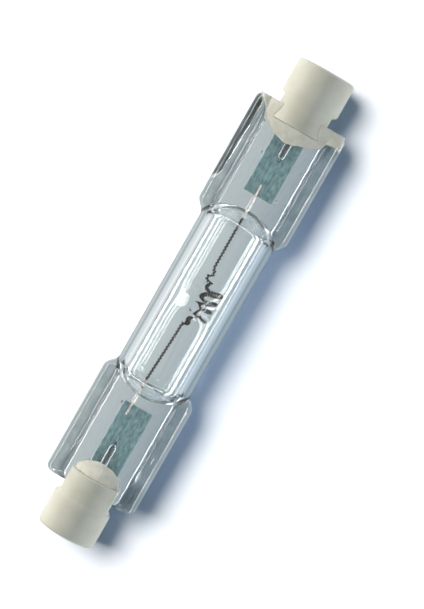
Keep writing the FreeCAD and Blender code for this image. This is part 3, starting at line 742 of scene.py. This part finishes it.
def sealBubbles():
    spots = bubbles["spots"]
    base = bpy.data.meshes.new("bubbleSpots")
    base.from_pydata([(x, y, axisHeight + bubbles["level"]) for x, y, _, _ in spots], [], [])
    spread = [c for _, _, length, width in spots for c in (length / 2, width / 2, width / 2)]
    base.attributes.new("spread", "FLOAT_VECTOR", "POINT").data.foreach_set("vector", spread)
    mesh = treeMesh("sealBubbles", base, bubbleTree(), {"Sides": bubbles["sides"], "Material": quartzLook})
    return [tuple(v.co) for v in mesh.vertices], [list(f.vertices) for f in mesh.polygons]


# How cloudy the glass is and how much painted shade darkens it, from 0 to about 1. Inner surfaces are below 0, which
# makes them sharp
cloudAndShade = {
    "rib": 0.42, "ribFrom": 1.15, "ribFull": 0.45, "web": 0.12, "inner": -0.5, "leadChannel": 0.1,
    "bubble": 1.1, "faintBubble": 0.3, "faintUpTo": -19,
    "fold": 0.75, "foldEdge": 0.5, "foldEdgeFrom": 0.15, "foldEdgeFull": 0.65,
    # Painted shade at the ends of two ribs: place, spread and strength
    "shadePatches": ((-30.0, -6.0, 2.4, 1.0, 0.42), (29.4, -5.5, 1.6, 0.6, 0.5)),
}


def pinchHazeAndShade(p):
    # The pressed glass is a little cloudy and darkened with painted shade, most along the middles of the ribs and at
    # the ends of two ribs
    e = envelope
    off = abs(abs(p[1]) - (halfWidth(p[0]) - e["ribHalfWidth"])) / e["ribHalfWidth"]
    rib = cloudAndShade["rib"] * smoothStep(cloudAndShade["ribFrom"], cloudAndShade["ribFull"], off)
    for x, y, long, wide, amount in cloudAndShade["shadePatches"]:
        rib += amount * mound(p[0], p[1], (x, y), (long, wide))
    return max(rib, cloudAndShade["web"]) * smoothStep(*e["ribStart"], abs(p[0]))


def foldHazeAndShade(p):
    # The fold is darkened with painted shade, darkest along its two edges
    off = abs(p[1] - foldVoid["middle"]) / foldVoid["halfWidth"]
    return cloudAndShade["fold"] + cloudAndShade["foldEdge"] * smoothStep(cloudAndShade["foldEdgeFrom"], cloudAndShade["foldEdgeFull"], off)


# Bubbles are darkened with painted shade, only faintly beyond 19 mm on the left
def bubbleHazeAndShade(p):
    return cloudAndShade["bubble"] if p[0] > cloudAndShade["faintUpTo"] else cloudAndShade["faintBubble"]


def joinParts(name, parts):
    # Each part comes with the haze and painted shade of its glass, as a number or as a rule for a point
    points, faces, hazeAndShade = [], [], []
    for (somePoints, someFaces), rule in parts:
        start = len(points)
        points += [tuple(p) for p in somePoints]
        hazeAndShade += [rule(p) if callable(rule) else rule for p in somePoints]
        faces += [[start + k for k in face] for face in someFaces]
    mesh = meshFrom(name, points, faces)
    mesh.attributes.new("hazeAndShade", "FLOAT", "POINT").data.foreach_set("value", hazeAndShade)
    return mesh


envelopeMesh = joinParts("quartzEnvelope", [
    (outerGlass(), pinchHazeAndShade), (cavityGlass(), cloudAndShade["inner"]),
    *((leadChannel(*side), cloudAndShade["leadChannel"]) for side in sides),
    *((innerChannel(*side), cloudAndShade["inner"]) for side in sides),
    (sealBubbles(), bubbleHazeAndShade), (foldChannel(), foldHazeAndShade)])
quartzEnvelope = newPiece("quartzEnvelope", envelopeMesh, quartzLook)
standFor(quartzEnvelope, "quartz_envelope")
clearParts.objects.link(quartzEnvelope)
notFloor.objects.link(quartzEnvelope)
notFloor.collection_objects[1].light_linking.link_state = "EXCLUDE"
print("envelope made, faces:", len(envelopeMesh.polygons))


# Coiled filament, in mm. Its winding is drawn coarser than the real one, whose fine wire wouldn't show in the
# render: the diameter of the wire, the radius of the winding and its pitch on the coil and on the legs
filament = {
    "wire": 0.25, "windingRadius": 0.14, "coilWinding": 0.46, "legWinding": 0.54, "step": 0.028, "wireSides": 7,
    "coilRadius": 1.34, "coilPitch": 1.42, "coilTurns": 4, "coilPlace": 0.5, "coilDrop": 1.5, "coilSteps": 48,
    "strandGap": 0.5, "bottomTurn": 0.8, "topTurn": 1.0, "coilLean": 0.17, "overrun": 0.6,
    "strand": 0.42, "legSteps": 40, "riseSteps": 16, "kinkSteps": 12, "legFrom": (2.4, 3.4),
    # The kink after the coil, in strands from the coil's end: along, across and up
    "crest": (2.4, 0.5, -0.6), "dip": (4.5, -0.9, 0.0), "rightKnee": (7.0, 0.0, 0.0),
    "leftKnee": 3.0, "leftShare": 0.3,
}


def bentPath(start, startWay, finish, finishWay, bulge, steps):
    points = []
    for k in range(steps + 1):
        share = k / steps
        keep = 1 - share
        points.append(start * keep ** 3 + (start + startWay * bulge) * (3 * keep ** 2 * share)
                      + (finish - finishWay * bulge) * (3 * keep * share ** 2) + finish * share ** 3)
    return points


def filamentRoute():
    f = filament
    coilLength = f["coilPitch"] * f["coilTurns"]
    coilStart = f["coilPlace"] - coilLength / 2
    coilFinish = coilStart + coilLength
    low, high = boxOf("coiled_filament")
    leftLow, leftHigh = boxOf("left_inner_lead")
    rightLow, rightHigh = boxOf("right_inner_lead")
    leftY = (leftLow.y + leftHigh.y) / 2
    rightY = (rightLow.y + rightHigh.y) / 2
    level = leftHigh.z - leads["innerRadius"]

    # Each turn steps along only at its two sides, so that its two strands run side by side
    def onCoil(angle):
        turn, local = divmod(angle, 2 * math.pi)
        bottom = smoothStep(math.pi - f["bottomTurn"], math.pi + f["bottomTurn"], local)
        top = smoothStep(-f["topTurn"], f["topTurn"], local) - 0.5
        top += smoothStep(2 * math.pi - f["topTurn"], 2 * math.pi + f["topTurn"], local)
        along = turn * f["coilPitch"] + f["strandGap"] * bottom + (f["coilPitch"] - f["strandGap"]) * top
        return Vector((coilStart + along - f["coilLean"] * math.cos(angle),
                       f["coilRadius"] * math.cos(angle) - f["coilDrop"],
                       axisHeight - f["coilRadius"] * math.sin(angle)))

    def alongCoil(angle):
        return (onCoil(angle + 0.01) - onCoil(angle - 0.01)).normalized()

    def kinkPoint(name):
        along, across, up = (f["strand"] * c for c in f[name])
        return Vector((coilFinish + along, rightY + across, level + up))

    firstAngle, lastAngle = -f["overrun"], 2 * math.pi * f["coilTurns"] + f["overrun"]
    count = f["coilSteps"] * f["coilTurns"]
    coil = [onCoil(firstAngle + (lastAngle - firstAngle) * k / count) for k in range(count + 1)]
    alongX = Vector((1, 0, 0))
    bend = f["strand"] * 2
    leftFoot, rightFoot = Vector((low.x, leftY, level)), Vector((high.x, rightY, level))
    leftKnee = Vector((coilStart - f["strand"] * f["leftKnee"], leftY * f["leftShare"], level))
    crest, dip, rightKnee = kinkPoint("crest"), kinkPoint("dip"), kinkPoint("rightKnee")
    steps = f["legSteps"]
    leftLeg = [leftFoot.lerp(leftKnee, k / steps) for k in range(steps)]
    rightLeg = [rightKnee.lerp(rightFoot, k / steps) for k in range(1, steps + 1)]
    rise = bentPath(leftKnee, alongX, coil[0], alongCoil(firstAngle), bend, f["riseSteps"])
    points = leftLeg + rise + coil[1:]
    points += bentPath(coil[-1], alongCoil(lastAngle), crest, alongX, bend, f["kinkSteps"])[1:]
    points += bentPath(crest, alongX, dip, alongX, bend, f["kinkSteps"])[1:]
    points += bentPath(dip, alongX, rightKnee, alongX, bend, f["kinkSteps"])[1:] + rightLeg
    # How many turns of the winding lie before each point. The legs are wound a little wider than the coil
    turns = [0.0]
    for one, two in zip(points, points[1:]):
        onLeg = smoothStep(*f["legFrom"], abs((one.x + two.x) / 2 - f["coilPlace"]))
        pitch = f["coilWinding"] + (f["legWinding"] - f["coilWinding"]) * onLeg
        turns.append(turns[-1] + (two - one).length / pitch)
    return points, turns


def windingTree():
    # Winds a fine wire round the route: the first winding of a coiled coil
    tree, given = newTree("wireWinding", [
        ("Wire Diameter", "Float"), ("Winding Radius", "Float"), ("Step", "Float"), ("Wire Sides", "Int")])
    route = addNode(tree, "GeometryNodeMeshToCurve", None, {"Mesh": given["Geometry"]})
    fine = addNode(tree, "GeometryNodeResampleCurve", {"mode": "LENGTH"}, {"Curve": route, "Length": given["Step"]})
    turns = addNode(tree, "GeometryNodeInputNamedAttribute", {"data_type": "FLOAT", "Name": "turns"})
    angle = addNode(tree, "ShaderNodeMath", {"operation": "MULTIPLY", 1: 2 * math.pi}, {0: turns})
    cosine = addNode(tree, "ShaderNodeMath", {"operation": "COSINE"}, {0: angle})
    sine = addNode(tree, "ShaderNodeMath", {"operation": "SINE"}, {0: angle})
    normal = addNode(tree, "GeometryNodeInputNormal")
    tangent = addNode(tree, "GeometryNodeInputTangent")
    side = addNode(tree, "ShaderNodeVectorMath", {"operation": "CROSS_PRODUCT"}, {0: tangent, 1: normal})
    ahead = addNode(tree, "ShaderNodeVectorMath", {"operation": "SCALE"}, {0: normal, "Scale": cosine})
    aside = addNode(tree, "ShaderNodeVectorMath", {"operation": "SCALE"}, {0: side, "Scale": sine})
    out = addNode(tree, "ShaderNodeVectorMath", {"operation": "ADD"}, {0: ahead, 1: aside})
    offset = addNode(tree, "ShaderNodeVectorMath", {"operation": "SCALE"}, {0: out, "Scale": given["Winding Radius"]})
    wound = addNode(tree, "GeometryNodeSetPosition", None, {"Geometry": fine, "Offset": offset})
    thick = addNode(tree, "ShaderNodeMath", {"operation": "MULTIPLY", 1: 0.5}, {0: given["Wire Diameter"]})
    section = addNode(tree, "GeometryNodeCurvePrimitiveCircle", None,
                      {"Resolution": given["Wire Sides"], "Radius": thick})
    wire = addNode(tree, "GeometryNodeCurveToMesh", {"Fill Caps": True}, {"Curve": wound, "Profile Curve": section})
    whole = addNode(tree, "GeometryNodeRealizeInstances", None, {"Geometry": wire})
    closeTree(tree, given, whole)
    return tree


route, turns = filamentRoute()
routeMesh = bpy.data.meshes.new("filamentRoute")
routeMesh.from_pydata([tuple(p) for p in route], [(k, k + 1) for k in range(len(route) - 1)], [])
routeMesh.attributes.new("turns", "FLOAT", "POINT").data.foreach_set("value", turns)
filamentMesh = treeMesh("coiledFilament", routeMesh, windingTree(), {
    "Wire Diameter": filament["wire"], "Winding Radius": filament["windingRadius"],
    "Step": filament["step"], "Wire Sides": filament["wireSides"], "Material": tungstenLook})
filamentMesh.transform(Matrix.Scale(mm, 4))
coiledFilament = newPiece("coiledFilament", filamentMesh, tungstenLook)
standFor(coiledFilament, "coiled_filament")
print("filament made, faces:", len(coiledFilament.data.polygons))


def wireProfile(start, finish, radius, edge):
    # A straight wire with rounded ends, as (x, radius) points
    corner = [math.pi / 6 * k for k in range(4)]
    profile = [(start + edge * (1 - math.cos(a)), radius - edge * (1 - math.sin(a))) for a in corner]
    profile += [(finish - edge * (1 - math.cos(a)), radius - edge * (1 - math.sin(a))) for a in reversed(corner)]
    return [(start, 0.0)] + profile + [(finish, 0.0)]


for side, sign in sides:
    foilLow, foilHigh = boxOf(f"{side}_foil")
    foilInner, foilOuter = endsOf(foilLow, foilHigh)
    weldLevel = foilHigh.z

    def pressFlat(p):
        # A lead is flattened where it is welded on the foil
        if foilInner < abs(p[0]) < foilOuter:
            p[2] = max(p[2], weldLevel)
        return p

    inner, outer = endsOf(*boxOf(f"{side}_outer_lead"))
    nib, nibEnd = leads["nibRadius"], inner + leads["nibLength"]
    # The nib swells into the shoulder of the thick wire
    thick = [(inner, 0.0), (inner + 0.04, nib * 0.7), (inner + 0.15, nib), (nibEnd - 0.2, nib * 1.1),
             (nibEnd - 0.05, nib * 1.6)]
    thick += wireProfile(nibEnd, outer, leads["outerRadius"], leads["edge"])[1:]
    thin = wireProfile(*endsOf(*boxOf(f"{side}_inner_lead")), leads["innerRadius"], leads["edge"] / 2)
    for kind, profile, radius, look in (("Outer", thick, leads["outerRadius"], leadLook),
                                        ("Inner", thin, leads["innerRadius"], innerLeadGleamLook)):
        node = f"{side}_{kind.lower()}_lead"
        low, high = boxOf(node)
        points, faces = latheSide(profile, sign, ((low.y + high.y) / 2, high.z - radius), leads["around"],
                                  bend=pressFlat)
        piece = newPiece(f"{side}{kind}Lead", meshFrom(f"{side}{kind}Lead", points, faces), look)
        standFor(piece, node)

# Foil with thinned edges, slightly creased where it shrank between the two layers of glass
foilForm = {"along": 130, "across": 52, "thickness": 0.05, "edge": 0.5, "crease": 0.035, "ragged": 0.06}

for number, (side, _) in enumerate(sides):
    f = foilForm
    low, high = boxOf(f"{side}_foil")
    points = []
    for upper in (1, -1):
        for i in range(f["along"] + 1):
            for j in range(f["across"] + 1):
                x = low.x + (high.x - low.x) * i / f["along"]
                y = low.y + (high.y - low.y) * j / f["across"]
                seed = Vector((x * 0.45, y * 1.1, number * 7.0))
                crease = noise.noise(seed) + 0.5 * noise.noise(seed * 2.7)
                inwards = min(i / f["along"], 1 - i / f["along"]) * (high.x - low.x)
                sideways = min(j / f["across"], 1 - j / f["across"]) * (high.y - low.y)
                fade = smoothStep(0.0, 0.5, min(inwards, sideways))
                thin = f["thickness"] / 2 * (0.15 + 0.85 * smoothStep(0.0, f["edge"], sideways))
                if j in (0, f["across"]):
                    y -= math.copysign(f["ragged"], j - 1) * abs(noise.noise(Vector((x * 1.7, j, number))))
                points.append((x, y, (low.z + high.z) / 2 + f["crease"] * crease * fade + upper * thin))
    faces = sheetFaces(f["along"] + 1, f["across"] + 1)
    piece = newPiece(f"{side}Foil", meshFrom(f"{side}Foil", points, faces), foilLook)
    standFor(piece, f"{side}_foil")
print("leads and foils made")


# Caps and cement, in mm: the cell of the remesh, the passes of smoothing, and the height and size of the lumps
ceramic = {
    "cap": {"voxel": 0.1, "smooth": 6},
    "cement": {"voxel": 0.08, "smooth": 5, "lump": 0.07, "lumpSize": 1.1},
}

# The smeared edge of the right cement, as (across, along) points
smear = {
    "edge": ((-7.1, 30.15), (-5.29, 29.71), (-3.67, 29.27), (-2.5, 28.09), (-1.1, 27.21), (0.59, 26.92),
             (3.08, 27.65), (4.41, 28.68), (5.29, 30.15), (6.75, 31.8), (7.1, 31.9)),
    "end": 32.0, "thickness": 0.38, "lap": 0.3, "sink": 0.25, "waver": 0.12, "along": 44, "across": 110,
}


def smearedShell(top):
    # A closed skin of cement that follows the glass from its smeared edge to just past the end of the seal
    s = smear
    points = []
    sign = 1 if top else -1
    for outer in (True, False):
        for j in range(s["across"] + 1):
            y = s["edge"][0][0] + (s["edge"][-1][0] - s["edge"][0][0]) * j / s["across"]
            for (y0, x0), (y1, x1) in zip(s["edge"], s["edge"][1:]):
                if y0 <= y <= y1:
                    edge = x0 + (x1 - x0) * (y - y0) / (y1 - y0)
            edge += s["waver"] * noise.noise(Vector((y * 0.9, 3.0 * sign, 0.5)))
            for i in range(s["along"] + 1):
                x = edge + (s["end"] - edge) * i / s["along"]
                glass = surfaceHeight(min(x, envelope["pinchEnd"] - 0.3), y * 0.985, False)
                lump = 1 + 0.35 * noise.noise(Vector((x * 0.8, y * 0.8, 2.0 * sign)))
                skin = s["thickness"] * lump * smoothStep(-0.15, s["lap"], x - edge)
                points.append((x, y, axisHeight + sign * (glass + (skin if outer else -s["sink"]))))
    faces = sheetFaces(s["across"] + 1, s["along"] + 1, flip=True)
    if not top:
        faces = [face[::-1] for face in faces]
    return points, faces


def softened(name, node, form, material, extras=()):
    # A copy of the solid, with any extra solids, worked over so that its edges are worn round
    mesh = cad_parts[node].data.copy()
    mesh.transform(Matrix.Scale(1 / mm, 4))
    work = bmesh.new()
    work.from_mesh(mesh)
    bmesh.ops.remove_doubles(work, verts=work.verts, dist=0.001)
    for points, faces in extras:
        corners = [work.verts.new(p) for p in points]
        for face in faces:
            work.faces.new([corners[k] for k in face])
    work.to_mesh(mesh)
    work.free()
    holder = bpy.data.objects.new(name + "Base", mesh)
    remesh = holder.modifiers.new("remesh", "REMESH")
    remesh.mode = "VOXEL"
    remesh.voxel_size = form["voxel"]
    smooth = holder.modifiers.new("smooth", "SMOOTH")
    smooth.factor, smooth.iterations = 0.5, form["smooth"]
    result = workedMesh(holder, name)
    if "lump" in form:
        normals = [v.normal.copy() for v in result.vertices]
        for vertex, normal in zip(result.vertices, normals):
            spot = vertex.co / form["lumpSize"]
            lump = noise.noise(spot) + 0.5 * noise.noise(spot * 2.3) - 0.6
            vertex.co += normal * form["lump"] * lump
    result.transform(Matrix.Scale(mm, 4))
    result.update()
    return newPiece(name, result, material)


for side, _ in sides:
    piece = softened(f"{side}CeramicCap", f"{side}_ceramic_cap", ceramic["cap"], steatiteLook)
    standFor(piece, f"{side}_ceramic_cap")
    print(side, "cap faces:", len(piece.data.polygons))
    extras = [smearedShell(True), smearedShell(False)] if side == "right" else []
    piece = softened(f"{side}Cement", f"{side}_cement", ceramic["cement"], cementLook, extras)
    standFor(piece, f"{side}_cement")
    cementParts.objects.link(piece)
    print(side, "cement faces:", len(piece.data.polygons))

# The recessed contacts, in mm: a stem in the cap and a button with a crowned face
contact = {
    "around": 64, "steps": 14, "rim": 1.8, "stem": 1.0, "crown": 0.25, "thickness": 0.7, "edge": 0.06,
    "bluntness": 0.55,
}

for side, sign in sides:
    c = contact
    inner, outer = endsOf(*boxOf(f"{side}_contact_button"))
    back, face = outer - c["thickness"], outer - c["crown"]
    profile = [(inner, 0.0), (inner, c["stem"] - c["edge"]), (inner + c["edge"], c["stem"]), (back, c["stem"]),
               (back, c["rim"] - c["edge"]), (back + c["edge"], c["rim"]), (face, c["rim"])]
    for k in range(1, c["steps"]):
        a = math.pi / 2 * k / c["steps"]
        profile.append((face + c["crown"] * math.sin(a), c["rim"] * math.cos(a) ** c["bluntness"]))
    profile.append((outer, 0.0))
    points, faces = latheSide(profile, sign, (0.0, axisHeight), c["around"])
    piece = newPiece(f"{side}ContactButton", meshFrom(f"{side}ContactButton", points, faces), contactLook)
    standFor(piece, f"{side}_contact_button")
print("caps, cement and contacts made")
